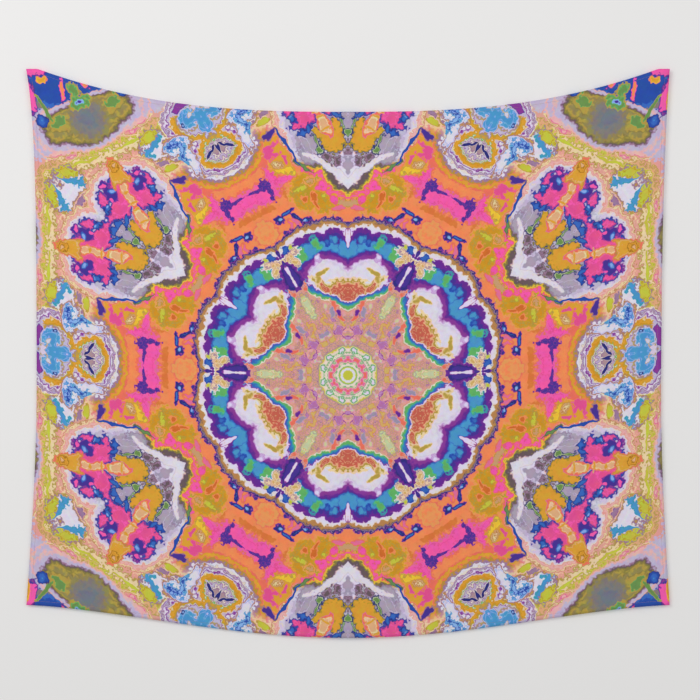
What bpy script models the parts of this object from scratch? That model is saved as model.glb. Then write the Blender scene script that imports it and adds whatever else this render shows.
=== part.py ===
"""Printed cloth wall hanging, held at its two top corners.

A thin printed sheet has a double-turned hem sewn along each edge.  Behind each top
corner a short cord loop is bar-tacked to the hem and lies over a small hook, which
sticks to the wall.  The top edge sags between the hooks, the sides draw in a little
and the lower edge hangs in a shallow curve.

Metres, +Z up.  The wall is the plane y = 0 and the front faces -Y.  The origin is on
the wall, midway between the hooks and level with the cords that lie in them.
"""

import math

import bmesh
import bpy
from mathutils import Matrix, Vector

# ---- driving dimensions, in metres ----

# the sheet, as it is cut and hemmed
cloth_width = 1.524
side_height = 1.252
cloth_thickness = 0.0005

# how it hangs from two corners
top_sag = 0.1004
sag_power = 2.65
bottom_drop = 0.0765
left_bow = 0.0240
left_bow_reach = 0.11
right_bow = 0.0215
right_bow_reach = 0.22
settle = 0.0030
ripple = 0.0012

# hems and their stitching
hem_width = 0.012
hem_thickness = 0.0010
seam_inset = 0.0020
seam_end_inset = 0.0030
thread_radius = 0.0003

# loops of round cord and the bar tacks at their ends
cord_radius = 0.0009
loop_bend = 0.0055
tack_width = 0.0025
tack_height = 0.0030
tack_thickness = 0.0008

# hooks and adhesive pads
hook_inset = 0.0145
hook_width = 0.0060
hook_wall = 0.0014
prong_height = 0.0030
plate_width = 0.0140
plate_height = 0.0260
plate_thickness = 0.0016
plate_top = 0.0032
plate_corner = 0.0030
pad_margin = 0.0010
pad_thickness = 0.0010

# care label, tucked under one side hem
label_length = 0.038
label_height = 0.026
label_thickness = 0.0005
label_rise = 0.150

# running and resting gaps
clearance = 0.0003
side_play = 0.0008

# how finely the sheets are divided
column_count = 28
row_count = 18
arc_steps = 10
bend_steps = 8

# ---- dimensions worked out from the values above ----

# the sagging edge keeps its cut length, so the corners stand closer than it is wide
edge_slack = (sag_power * top_sag) ** 2 / ((2 * sag_power - 1) * cloth_width / 2)
corner_span = cloth_width - edge_slack
half_span = corner_span / 2
hook_x = half_span - hook_inset

saddle_radius = cord_radius + clearance
prong_reach = saddle_radius + hook_wall
cord_depth = pad_thickness + clearance + plate_thickness + saddle_radius

# the cloth turns about the cords, so it stands clear of the tip of each prong
cloth_stand_off = math.hypot(prong_reach, prong_height) + clearance
edge_above_cord = prong_height + 0.0005

hem_back = cord_depth + cloth_stand_off
hem_front = hem_back + hem_thickness
panel_back = hem_front + clearance
panel_front = panel_back + cloth_thickness

loop_straight = hook_width / 2 + side_play
loop_half = loop_straight + loop_bend
loop_end_offset = cloth_stand_off - clearance - cord_radius
tack_x = loop_half + clearance + tack_width / 2

# the part of the top edge that the loop and its tacks keep level
corner_run = hook_inset + tack_x + tack_width / 2

# the same lengths as shares of the sheet
hem_u = hem_width / half_span
hem_v = hem_width / side_height
gap_u = clearance / half_span
gap_v = clearance / side_height
corner_u = corner_run / half_span
seam_u = (hem_width - seam_inset) / half_span
seam_v = (hem_width - seam_inset) / side_height
seam_end_u = seam_end_inset / half_span
seam_end_v = seam_end_inset / side_height

cord_line = Vector((0.0, -cord_depth, 0.0))


# ---- the hanging shape ----

def smooth_step(value):
    """Ease from 0 to 1, flat at both ends."""
    value = min(1.0, max(0.0, value))
    return value * value * (3.0 - 2.0 * value)


def edge_bow(u, v):
    """How far a side edge is drawn in at v: quickly below its hook, nothing at its foot."""
    bow, reach = (left_bow, left_bow_reach) if u < 0 else (right_bow, right_bow_reach)
    below_hook = 1.0 - math.exp(-v / reach)
    above_foot = math.sin(math.pi / 2 * min(1.0, (1.0 - v) / 0.42))
    return bow * below_hook * above_foot


def drape(u, v, depth):
    """A point of the hung sheet.

    u runs from -1 at the left edge to 1 at the right, v from 0 at the top edge to 1 at
    the bottom, and depth is how far in front of the wall the layer hangs at the hooks.
    """
    from_side = 1.0 - abs(u)
    from_held = max(0.0, from_side - corner_u) / (1.0 - corner_u)
    top = edge_above_cord - top_sag * (1.0 - (1.0 - from_held) ** sag_power)
    bottom = edge_above_cord - side_height
    bottom -= bottom_drop * math.sin(math.pi / 2 * from_side) ** 1.5
    x = u * half_span - math.copysign(edge_bow(u, v) * u * u, u)
    z = top + (bottom - top) * v
    free = smooth_step((v - 0.04) / 0.5)
    wave = ripple * math.sin(2.5 * math.pi * u + 1.2 * v) * free
    return Vector((x, -(depth - settle * free + wave), z))


def spread(start, end, steps):
    """Evenly spaced values from start to end."""
    return [start + (end - start) * i / steps for i in range(steps + 1)]


# ---- building helpers ----

def clear_scene():
    for old in list(bpy.data.objects):
        bpy.data.objects.remove(old, do_unlink=True)


def make_collection(name):
    collection = bpy.data.collections.new(name)
    bpy.context.scene.collection.children.link(collection)
    return collection


def make_material(name, colour, roughness, metallic=0.0):
    material = bpy.data.materials.new(name)
    material.use_nodes = True
    shader = material.node_tree.nodes["Principled BSDF"]
    shader.inputs["Base Color"].default_value = (*colour, 1.0)
    shader.inputs["Roughness"].default_value = roughness
    shader.inputs["Metallic"].default_value = metallic
    return material


def make_empty(name, place, collection):
    empty = bpy.data.objects.new(name, None)
    empty.empty_display_size = 0.02
    empty.location = place
    collection.objects.link(empty)
    return empty


def place_piece(name, data, material, holder, collection):
    """Make an object from data in world coordinates, and hang it on its holder."""
    data.transform(Matrix.Translation(-holder.location))
    data.materials.append(material)
    piece = bpy.data.objects.new(name, data)
    piece.parent = holder
    collection.objects.link(piece)
    return piece


def sheet_mesh(name, u_lines, v_lines, front):
    """A grid shaped to the hanging cloth, its front at the given depth."""
    columns = len(u_lines) - 1
    rows = len(v_lines) - 1
    form = bmesh.new()
    bmesh.ops.create_grid(form, x_segments=columns, y_segments=rows, size=0.5)
    for vertex in form.verts:
        column = round((vertex.co.x + 0.5) * columns)
        row = round((0.5 - vertex.co.y) * rows)
        vertex.co = drape(u_lines[column], v_lines[row], front)
    mesh = bpy.data.meshes.new(name)
    form.to_mesh(mesh)
    form.free()
    return mesh


def add_sheet(name, u_lines, v_lines, front, thickness, material, holder, collection):
    """A sheet of cloth with its thickness behind its front face."""
    mesh = sheet_mesh(name, u_lines, v_lines, front)
    piece = place_piece(name, mesh, material, holder, collection)
    wall = piece.modifiers.new("thickness", "SOLIDIFY")
    wall.thickness = thickness
    wall.offset = -1.0
    wall.use_even_offset = False
    return piece


def add_tube(name, points, radius, material, holder, collection):
    """A round thread or cord through the points."""
    curve = bpy.data.curves.new(name, "CURVE")
    curve.dimensions = "3D"
    curve.bevel_depth = radius
    curve.bevel_resolution = 2
    curve.use_fill_caps = True
    spline = curve.splines.new("POLY")
    spline.points.add(len(points) - 1)
    for knot, point in zip(spline.points, points):
        knot.co = (*point, 1.0)
    return place_piece(name, curve, material, holder, collection)


def block_mesh(name, low, high, corner):
    """A plate between two corners, its four corners rounded as seen from the front."""
    form = bmesh.new()
    bmesh.ops.create_cube(form, size=1.0)
    size = Vector(high) - Vector(low)
    middle = (Vector(high) + Vector(low)) / 2
    for vertex in form.verts:
        vertex.co = Vector(vertex.co) * size + middle
    along_y = [e for e in form.edges if abs(e.verts[0].co.y - e.verts[1].co.y) > size.y / 2]
    bmesh.ops.bevel(form, geom=along_y, offset=corner, segments=4, profile=0.5,
                    affect="EDGES", clamp_overlap=True)
    mesh = bpy.data.meshes.new(name)
    form.to_mesh(mesh)
    form.free()
    return mesh


# ---- the cloth and its sewing ----

def sheet_lines():
    """Column and row lines that the panel and the hems share."""
    columns = [-1.0, -1.0 + hem_u]
    columns += spread(-1.0 + corner_u, 1.0 - corner_u, column_count)
    columns += [1.0 - hem_u, 1.0]
    rows = [0.0] + spread(hem_v, 1.0 - hem_v, row_count) + [1.0]
    return columns, rows


def build_cloth(material, holder, collection):
    columns, rows = sheet_lines()
    add_sheet("cloth_panel", columns, rows, panel_front, cloth_thickness,
              material, holder, collection)


def build_hems(material, holder, collection):
    """Four turned hems behind the panel; the side hems fit between the other two."""
    columns, rows = sheet_lines()
    between = [hem_v + gap_v] + rows[2:-2] + [1.0 - hem_v - gap_v]
    layouts = {
        "top_hem": (columns, [0.0, hem_v]),
        "bottom_hem": (columns, [1.0 - hem_v, 1.0]),
        "left_hem": ([-1.0, -1.0 + hem_u], between),
        "right_hem": ([1.0 - hem_u, 1.0], between),
    }
    for name, (u_lines, v_lines) in layouts.items():
        add_sheet(name, u_lines, v_lines, hem_front, hem_thickness,
                  material, holder, collection)


def build_seams(material, holder, collection):
    """A line of thread on the back of each hem, near its inner fold."""
    columns, rows = sheet_lines()
    depth = hem_back - clearance - thread_radius
    across = [-1.0 + seam_end_u] + columns[1:-1] + [1.0 - seam_end_u]
    down = [hem_v + seam_end_v] + rows[2:-2] + [1.0 - hem_v - seam_end_v]
    routes = {
        "top_hem_seam": [drape(u, seam_v, depth) for u in across],
        "bottom_hem_seam": [drape(u, 1.0 - seam_v, depth) for u in across],
        "left_hem_seam": [drape(-1.0 + seam_u, v, depth) for v in down],
        "right_hem_seam": [drape(1.0 - seam_u, v, depth) for v in down],
    }
    for name, points in routes.items():
        add_tube(name, points, thread_radius, material, holder, collection)


def build_label(material, holder, collection):
    """A folded care label, its tail tucked under the left hem."""
    start_u = -1.0 + hem_u + gap_u
    end_u = start_u + label_length / half_span
    start_v = 1.0 - (label_rise + label_height) / side_height
    end_v = 1.0 - label_rise / side_height
    front = hem_front
    add_sheet("care_label", spread(start_u, end_u, 4), spread(start_v, end_v, 2),
              front, label_thickness, material, holder, collection)


# ---- the loops and the bar tacks that sew them on ----

def loop_points(centre_x):
    """Route of a cord: straight over the hook, bent forward to the hem at both ends."""
    points = []
    for i in range(bend_steps + 1):
        share = i / bend_steps
        x = loop_half - loop_bend * share
        y = -loop_end_offset * (1.0 - smooth_step(share))
        points.append((x, y))
    mirrored = [(-x, y) for x, y in reversed(points)]
    return [cord_line + Vector((centre_x + x, y, 0.0)) for x, y in points + mirrored]


def build_loop(side, centre_x, material, holder, collection):
    add_tube(f"{side}_hanging_loop", loop_points(centre_x), cord_radius,
             material, holder, collection)


def build_tacks(side, centre_x, outward, material, holder, collection):
    """Bar tacks on the hem just past the two ends of a loop."""
    back = -(hem_back - clearance)
    for place, direction in (("outer", outward), ("inner", -outward)):
        middle = centre_x + direction * tack_x
        low = (middle - tack_width / 2, back, -tack_height / 2)
        high = (middle + tack_width / 2, back + tack_thickness, tack_height / 2)
        name = f"{side}_{place}_bar_tack"
        mesh = block_mesh(name, low, high, tack_width / 4)
        place_piece(name, mesh, material, holder, collection)


# ---- the hooks and their pads ----

def arc(centre, radius, start, end):
    """Points of an arc, the angles in degrees."""
    angles = [math.radians(a) for a in spread(start, end, arc_steps)]
    return [(centre[0] + radius * math.cos(a), centre[1] + radius * math.sin(a))
            for a in angles]


def hook_outline():
    """Side view of the hook's arm about the cord: towards the wall, then up."""
    tip_radius = hook_wall / 2
    tip_centre = (-saddle_radius - tip_radius, prong_height - tip_radius)
    outer = arc((0.0, 0.0), prong_reach, 0.0, -180.0)
    tip = arc(tip_centre, tip_radius, 180.0, 0.0)
    inner = arc((0.0, 0.0), saddle_radius, -180.0, 0.0)
    return outer + tip + inner


def arm_object(side, centre_x, cutters):
    """The arm of a hook, a flat outline as thick as the hook is wide."""
    curve = bpy.data.curves.new("arm_outline", "CURVE")
    curve.dimensions = "2D"
    curve.fill_mode = "BOTH"
    curve.extrude = hook_width / 2
    outline = hook_outline()
    spline = curve.splines.new("POLY")
    spline.points.add(len(outline) - 1)
    for knot, (toward_wall, up) in zip(spline.points, outline):
        knot.co = (toward_wall, up, 0.0, 1.0)
    spline.use_cyclic_u = True
    flat = bpy.data.objects.new("arm_outline", curve)
    cutters.objects.link(flat)
    turn = Matrix(((0, 0, 1), (1, 0, 0), (0, 1, 0))).to_4x4()
    flat.matrix_world = Matrix.Translation(cord_line + Vector((centre_x, 0, 0))) @ turn
    bpy.context.view_layer.update()
    evaluated = flat.evaluated_get(bpy.context.evaluated_depsgraph_get())
    mesh = bpy.data.meshes.new_from_object(evaluated)
    form = bmesh.new()
    form.from_mesh(mesh)
    bmesh.ops.remove_doubles(form, verts=form.verts, dist=0.000001)
    form.to_mesh(mesh)
    form.free()
    arm = bpy.data.objects.new(f"{side}_hook_arm_form", mesh)
    arm.matrix_world = flat.matrix_world
    arm.hide_render = True
    arm.display_type = "WIRE"
    cutters.objects.link(arm)
    bpy.data.objects.remove(flat, do_unlink=True)
    return arm


def build_hook(side, centre_x, material, holder, collection, cutters):
    """A rounded plate with its arm joined on."""
    front = -(pad_thickness + clearance + plate_thickness)
    low = (centre_x - plate_width / 2, front, plate_top - plate_height)
    high = (centre_x + plate_width / 2, front + plate_thickness, plate_top)
    name = f"{side}_wall_hook"
    mesh = block_mesh(name, low, high, plate_corner)
    hook = place_piece(name, mesh, material, holder, collection)
    join = hook.modifiers.new("arm", "BOOLEAN")
    join.operation = "UNION"
    join.solver = "EXACT"
    join.object = arm_object(side, centre_x, cutters)


def build_pad(side, centre_x, material, holder, collection):
    """The double-sided pad between the hook and the wall."""
    half = plate_width / 2 - pad_margin
    low = (centre_x - half, -pad_thickness, plate_top - plate_height + pad_margin)
    high = (centre_x + half, 0.0, plate_top - pad_margin)
    name = f"{side}_adhesive_pad"
    mesh = block_mesh(name, low, high, plate_corner - pad_margin)
    place_piece(name, mesh, material, holder, collection)


# ---- the whole hanging ----

def main():
    clear_scene()
    parts = make_collection("tapestry_wall_hanging")
    cutters = make_collection("cutters")

    printed = make_material("printed_polyester", (0.48, 0.27, 0.20), 0.85)
    thread = make_material("sewing_thread", (0.78, 0.76, 0.72), 0.60)
    cord = make_material("loop_cord", (0.80, 0.78, 0.74), 0.70)
    plastic = make_material("hook_plastic", (0.86, 0.86, 0.85), 0.30)
    foam = make_material("adhesive_foam", (0.90, 0.90, 0.88), 0.60)
    satin = make_material("label_satin", (0.88, 0.87, 0.85), 0.45)

    wall = make_empty("wall_origin", (0.0, 0.0, 0.0), parts)
    lift = make_empty("lift_off_axis", cord_line, parts)
    swing = make_empty("swing_axis", cord_line, parts)

    build_cloth(printed, swing, parts)
    build_hems(printed, swing, parts)
    build_seams(thread, swing, parts)
    build_label(satin, swing, parts)
    for side, outward in (("left", -1.0), ("right", 1.0)):
        centre_x = outward * hook_x
        build_loop(side, centre_x, cord, lift, parts)
        build_tacks(side, centre_x, outward, thread, swing, parts)
        build_hook(side, centre_x, plastic, wall, parts, cutters)
        build_pad(side, centre_x, foam, wall, parts)


main()
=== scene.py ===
# %% [markdown]
# # A printed cloth wall hanging
#
# The finished object is a thin printed cloth with sewn hems.  Two short cord loops are
# tacked behind its top corners, and each loop lies over a small hook stuck to the wall.
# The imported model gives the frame: its sizes, its moving bodies and its hard parts.
# Everything made here is in metres, the wall is the plane y = 0 and the front faces -Y.

import math

import bmesh
import bpy
from mathutils import Matrix, Vector


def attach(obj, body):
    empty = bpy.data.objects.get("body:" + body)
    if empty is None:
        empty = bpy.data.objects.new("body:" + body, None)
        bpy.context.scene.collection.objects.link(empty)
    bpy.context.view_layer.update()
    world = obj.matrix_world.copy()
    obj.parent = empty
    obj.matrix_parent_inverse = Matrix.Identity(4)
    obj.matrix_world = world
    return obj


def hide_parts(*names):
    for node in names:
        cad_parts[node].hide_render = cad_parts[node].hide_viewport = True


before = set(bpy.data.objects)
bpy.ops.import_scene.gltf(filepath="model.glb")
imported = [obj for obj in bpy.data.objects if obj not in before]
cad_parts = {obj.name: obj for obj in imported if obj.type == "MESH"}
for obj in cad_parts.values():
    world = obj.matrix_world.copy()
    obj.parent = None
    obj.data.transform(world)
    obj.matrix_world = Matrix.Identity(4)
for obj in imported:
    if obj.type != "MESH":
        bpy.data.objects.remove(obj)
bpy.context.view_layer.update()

# %% [markdown]
# ## The size and hang of the cloth
#
# A sheet held at two corners sags between them.  Instead of simulating it, the hang is a
# short formula that gives a point for each place on the sheet, because the model's own
# panel follows the same formula and every hem, stitch and tack must lie on it exactly.
# `u` runs from -1 at the left edge to 1 at the right, and `v` from 0 at the top to 1.

# %% Sizes shared by the cloth pieces
cut_width = 1.524
side_height = 1.252
cloth_thickness = 0.0005
hem_width = 0.012
hem_thickness = 0.0010
clearance = 0.0003

top_sag = 0.1004
sag_power = 2.65
bottom_drop = 0.0765
side_bow = {-1: (0.0240, 0.11), 1: (0.0215, 0.22)}
settle = 0.0030
ripple = 0.0012
edge_above_cord = 0.0035
bow_height_share = 0.42      # over this share at the foot, the side edge swings out again
held_share = 0.04            # below this share of it, the cloth starts to hang free

cord_radius = 0.0009
cord_depth = 0.0041
hook_inset = 0.0145
prong_reach = cord_radius + clearance + 0.0014
stand_off = math.hypot(prong_reach, 0.0030) + clearance
hem_back = cord_depth + stand_off
hem_front = hem_back + hem_thickness
panel_back = hem_front + clearance
panel_front = panel_back + cloth_thickness

corner_span = cut_width - (sag_power * top_sag) ** 2 / ((2 * sag_power - 1) * cut_width / 2)
half_span = corner_span / 2
hook_x = half_span - hook_inset
loop_half = 0.0060 / 2 + 0.0008 + 0.0055
tack_width = 0.0025
tack_x = loop_half + clearance + tack_width / 2
corner_u = (hook_inset + tack_x + tack_width / 2) / half_span
hem_u = hem_width / half_span
hem_v = hem_width / side_height
print("corner to corner, mm:", round(1000 * corner_span, 1))


# %% The hang
def smooth_step(value):
    """Ease from 0 to 1, flat at both ends."""
    value = min(1.0, max(0.0, value))
    return value * value * (3.0 - 2.0 * value)


def hang(u, v, depth):
    """A point of the hung sheet, for a layer that far in front of the wall at the hooks."""
    from_side = 1.0 - abs(u)
    from_held = max(0.0, from_side - corner_u) / (1.0 - corner_u)
    top = edge_above_cord - top_sag * (1.0 - (1.0 - from_held) ** sag_power)
    bottom = edge_above_cord - side_height
    bottom -= bottom_drop * math.sin(math.pi / 2 * max(0.0, from_side)) ** 1.5
    bow, reach = side_bow[-1 if u < 0 else 1]
    drawn_in = bow * (1.0 - math.exp(-v / reach))
    drawn_in *= math.sin(math.pi / 2 * min(1.0, (1.0 - v) / bow_height_share))
    x = u * half_span - math.copysign(drawn_in * u * u, u)
    z = top + (bottom - top) * v
    free = smooth_step((v - held_share) / 0.5)
    wave = ripple * math.sin(2.5 * math.pi * u + 1.2 * v) * free
    return Vector((x, -(depth - settle * free + wave), z))


# %% [markdown]
# ## Camera, wall, floor and light
#
# A long lens straight in front keeps the cloth's outline free of perspective.  The light
# is what a product table uses: one large soft panel high on the left, a weaker one on the
# right, and a pale room.  The wall is one-sided, so the back of the cloth can be seen too.

# %% Camera
stage_view = bpy.context.scene.view_settings
stage_view.view_transform = "Standard"

lens = bpy.data.cameras.new("straight_on")
lens.lens = 85.0
lens.sensor_width = 36.0
lens.clip_end = 50.0
view_width = 1.6336
view_middle = (0.0047, -0.6527)
stand_back = view_width * lens.lens / lens.sensor_width
camera = bpy.data.objects.new("straight_on", lens)
camera.location = (view_middle[0], -(panel_front + stand_back), view_middle[1])
camera.rotation_euler = (math.pi / 2, 0.0, 0.0)
bpy.context.scene.collection.objects.link(camera)
bpy.context.scene.camera = camera
print("camera to cloth, m:", round(-camera.location.y - panel_front, 3))


# %% Helpers for nodes and colours
def to_linear(colour, alpha=1.0):
    """An sRGB hex colour as linear light."""
    parts = [int(colour[i:i + 2], 16) / 255 for i in (1, 3, 5)]
    parts = [p / 12.92 if p <= 0.04045 else ((p + 0.055) / 1.055) ** 2.4 for p in parts]
    return (*parts, alpha)


def add_node(tree, kind, inputs=None, **settings):
    """A node with its settings, and its inputs set to values or linked to sockets."""
    node = tree.nodes.new(kind)
    for name, value in settings.items():
        setattr(node, name, value)
    for name, value in (inputs or {}).items():
        if isinstance(value, bpy.types.NodeSocket):
            tree.links.new(value, node.inputs[name])
        else:
            node.inputs[name].default_value = value
    return node


def start_material(name):
    """An empty material and its node tree."""
    material = bpy.data.materials.new(name)
    material.use_nodes = True
    material.node_tree.nodes.clear()
    return material, material.node_tree


def end_material(tree, inputs):
    """The shader and the output that close a material."""
    shader = add_node(tree, "ShaderNodeBsdfPrincipled", inputs)
    add_node(tree, "ShaderNodeOutputMaterial", {"Surface": shader.outputs[0]})
    return shader


# %% Wall and floor
def one_sided_matt(name, colour):
    """Matt paint that shows only from the side that its faces point to.

    Light passes through it, so the back of the cloth is lit for views from behind.
    """
    material, tree = start_material(name)
    side = add_node(tree, "ShaderNodeNewGeometry")
    ray = add_node(tree, "ShaderNodeLightPath")
    unseen = add_node(tree, "ShaderNodeMath", {0: 1.0, 1: ray.outputs["Is Camera Ray"]},
                      operation="SUBTRACT")
    passes = add_node(tree, "ShaderNodeMath",
                      {0: side.outputs["Backfacing"], 1: unseen.outputs[0]},
                      operation="MAXIMUM")
    matt = add_node(tree, "ShaderNodeBsdfDiffuse", {"Color": to_linear(colour)})
    clear_paint = add_node(tree, "ShaderNodeBsdfTransparent")
    both = add_node(tree, "ShaderNodeMixShader", {
        0: passes.outputs[0], 1: matt.outputs[0], 2: clear_paint.outputs[0]})
    add_node(tree, "ShaderNodeOutputMaterial", {"Surface": both.outputs[0]})
    return material


def stage_plane(name, size, matrix, material):
    form = bmesh.new()
    bmesh.ops.create_grid(form, x_segments=1, y_segments=1, size=size / 2, matrix=matrix)
    mesh = bpy.data.meshes.new(name)
    form.to_mesh(mesh)
    form.free()
    mesh.materials.append(material)
    plane = bpy.data.objects.new(name, mesh)
    bpy.context.scene.collection.objects.link(plane)
    return plane


wall_turn = Matrix.Rotation(math.pi / 2, 4, "X")
stage_plane("wall", 14.0, Matrix.Translation((0.0, 0.0004, 4.9)) @ wall_turn,
            one_sided_matt("matt_wall_paint", "#F2F1F0"))
stage_plane("floor", 14.0, Matrix.Translation((0.0, -6.9996, -2.1)),
            one_sided_matt("matt_floor_paint", "#EFEDEA"))


# %% Lights
def soft_panel(name, place, aim, size, power):
    light = bpy.data.lights.new(name, "AREA")
    light.shape = "SQUARE"
    light.size = size
    light.energy = power
    panel = bpy.data.objects.new(name, light)
    panel.location = place
    panel.rotation_euler = (Vector(aim) - Vector(place)).to_track_quat("-Z", "Y").to_euler()
    panel.visible_camera = False
    bpy.context.scene.collection.objects.link(panel)
    return panel


soft_panel("key_panel", (-2.4, -3.4, 1.4), (0.0, 0.0, -0.6), 2.4, 66.0)
soft_panel("fill_panel", (2.6, -3.6, 0.4), (0.0, 0.0, -0.7), 2.4, 26.0)
soft_panel("back_panel", (0.0, 3.0, 0.8), (0.0, 0.0, -0.6), 2.0, 30.0)

room = bpy.data.worlds.new("pale_room")
room.use_nodes = True
room.node_tree.nodes["Background"].inputs["Color"].default_value = to_linear("#FFFFFF")
room.node_tree.nodes["Background"].inputs["Strength"].default_value = 0.575
bpy.context.scene.world = room

# %% [markdown]
# ## The print
#
# The printed design is a kaleidoscope: one small wedge, repeated twelve times by mirrors
# round the middle.  So only the wedge is drawn.  Its place on the cloth comes from a UV
# map in metres; folding the angle with ping-pong mirrors turns every place into one
# inside the wedge, and everything painted after that repeats by itself.
#
# Inside the wedge each motif is a few soft ellipses melted into one shape.  The distance
# outside that shape, in millimetres, is roughened by one shared noise and then looked up
# in a list of coloured bands, so a motif brings its own outlines.  Motifs are painted from
# the bottom layer to the top one, which also keeps the list of open values short.

# %% Colours of the inks
ink = {
    "orange": "#F79058", "mustard": "#D49824", "old gold": "#BE9A2C",
    "amber": "#E2A336", "yellow": "#F2C838", "cream": "#F2D6A6", "pale": "#EBDDCB",
    "white": "#E4DEE8", "lilac": "#E6D6F0", "lavender": "#C6BAD2", "grey lavender": "#B0A4B4",
    "hot pink": "#FC5EAC", "shell pink": "#EA5592", "coral": "#F0745C", "salmon": "#E8A494",
    "pale pink": "#F0B8B0", "brick": "#CB6450", "peach": "#E6B080", "tan": "#BE8A50",
    "brown": "#6C5A5C", "olive": "#8A7F42", "dome olive": "#978B54", "grey olive": "#86807A",
    "lime": "#CACA42", "leaf": "#66B464", "green": "#58C088", "teal": "#3C9CA8",
    "sky": "#4C9ACC", "pale blue": "#8CB4E8", "blue": "#3A6CBC", "royal": "#2A50A8",
    "navy": "#2C2E78", "indigo": "#4A3494", "purple": "#6A2C92", "plum": "#8E3C98",
    "mauve": "#A27E9A", "dusty": "#B49292", "dark teal": "#3F5560", "rose": "#E8709C",
    "orchid": "#C89AD0", "pale lilac": "#DAD0E2", "dusty lilac": "#A094A8", "gilt": "#B8A048",
    "slate": "#757C86", "moss": "#6E9450", "apricot": "#F09E5C", "rust": "#D66C2C",
    "tan peach": "#CFA070", "ember": "#E07C3C", "dark gold": "#A87420", "heather": "#BC76A6",
    "straw": "#D8B468", "pale green": "#C8D2A0",
}

# %% [markdown]
# Each motif is: its name, the coordinates it is drawn in, its ellipses (centre x and y,
# half-lengths, turn in degrees), how much they melt together, how rough its edge is, its
# bands from the inside out, and how softly they meet where that isn't over 2 mm.
# A band starts at a distance outside the ellipses, and the last one is usually clear.
# The shell and the dome have a mirror of their own, so they are drawn in a second set of
# coordinates whose y is the distance from that mirror.

# %% Motifs of the outer ground and the side arch
clear = None
arch_motifs = [
    ("rosy patch", "shell", [(738, 104, 8, 30, 0), (722, 84, 6, 16, 0)], 8, 6,
     [(-99, "pale pink"), (-7, "rose"), (-3, "salmon"), (2, "old gold"), (4, "cream"),
     (7, clear)]),
    ("lilac drift", "shell", [(768, 134, 30, 18, 20), (740, 60, 9, 34, 8)], 8, 6,
     [(-99, "lavender"), (-1, "pale pink"), (4, clear)]),
    ("mauve curl", "shell", [(628, 104, 7, 24, 12), (667, 88, 19, 7, 10), (640, 130, 6, 14, 30)],
     6, 9, [(-99, "mauve"), (-1, "plum"), (0, "dusty"), (3, "cream"), (5, clear)]),
    ("lime drop", "shell", [(612, 124, 5, 16, 0), (700, 60, 3, 40, 0)], 6, 6, [(-99, "lime"),
     (0, "old gold"), (2, "cream"), (5, clear)]),
    ("white gully", "shell", [(654, 118, 14, 32, 14), (636, 150, 12, 14, 0),
     (682, 113, 20, 30, -24)], 10, 10, [(-99, "white"), (-1, "pale"), (2, "mauve"), (6, "tan"),
     (8, "gilt"), (10, clear)]),
    ("teal gully", "shell", [(676, 114, 7, 27, -30), (662, 92, 7, 8, 0)], 6, 11, [(-99, "sky"),
     (-2, "teal"), (2, "pale blue"), (4, clear)]),
    ("lime gully", "shell", [(694, 112, 11, 24, -22)], 6, 12, [(-99, "lime"), (-5, "old gold"),
     (-2, "lime"), (2, "mauve"), (5, clear)]),
    ("arch outside", "arch left", [(600, 0, 28, 40, 0), (700, 0, 60, 90, 0)], 20, 7,
     [(-99, "lavender"), (26, "mauve"), (30, "white"), (34, "plum"), (37, "white"),
     (42, "mauve"), (47, "tan"), (50, "old gold"), (53, "coral"), (56, "amber"), (66, "mustard"),
     (68, "coral"), (71, clear)]),
    ("arch", "wedge", [(598, 0, 28, 38, 0), (690, 6, 42, 56, 0)], 22, 6, [(-99, "lavender"),
     (-5, "plum"), (-3, "pale"), (-1, "gilt"), (2, "mustard"), (6, "amber"), (10, "mustard"),
     (13, "cream"), (15, "lavender"), (18, "plum"), (21, "white"), (24, "mauve"),
     (27, "lavender"), (29, "plum"), (31, "pale"), (34, clear)]),
    ("white bank", "wedge", [(612, 72, 34, 9, 6), (650, 86, 16, 26, 0)], 10, 8, [(-99, "white"),
     (0, "pale blue"), (2, "white"), (5, "mauve"), (8, "tan"), (11, clear)]),
    ("blue eye", "wedge", [(620, 86, 13, 7, 8), (640, 76, 18, 7, -12), (656, 96, 9, 15, 10)], 8,
     10, [(-99, "pale blue"), (-6, "royal"), (-2, "pale blue"), (0, "sky"), (3, clear)]),
    ("arch core", "wedge", [(603, 2, 25, 34, 6)], 8, 9, [(-99, "dusty"), (-17, "mauve"),
     (-13, "pale"), (-10, "plum"), (-8, "lavender"), (-4, "mauve"), (-1, "pale"), (1, "leaf"),
     (3, clear)]),
    ("three arms", "wedge", [(608, 18, 3, 22, 34), (604, 0, 15, 4, 0)], 5, 5, [(-99, "navy"),
     (-1, "brown"), (1, "white"), (3, clear)]),
    ("sky pool", "wedge", [(696, 30, 22, 24, 0), (684, 5, 38, 11, 0)], 12, 8, [(-99, "sky"),
     (-9, "pale blue"), (-7, "sky"), (-2, "pale blue"), (0, "pale lilac"), (3, "mauve"),
     (5, "gilt"), (8, clear)], 3.0),
    ("pool light", "wedge", [(716, 8, 10, 5, 20), (700, 18, 3, 6, 0)], 4, 8,
     [(-99, "pale lilac"), (0, "gilt"), (2, "pale blue"), (4, clear)]),
    ("pool edge", "wedge", [(728, 30, 8, 28, 12)], 6, 7, [(-99, "plum"), (-2, "indigo"),
     (1, "lavender"), (7, clear)]),
    ("pool stone", "wedge", [(688, 47, 6, 5, 0)], 4, 5, [(-99, "pale blue"), (-2, "navy"),
     (1, clear)]),
]

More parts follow.
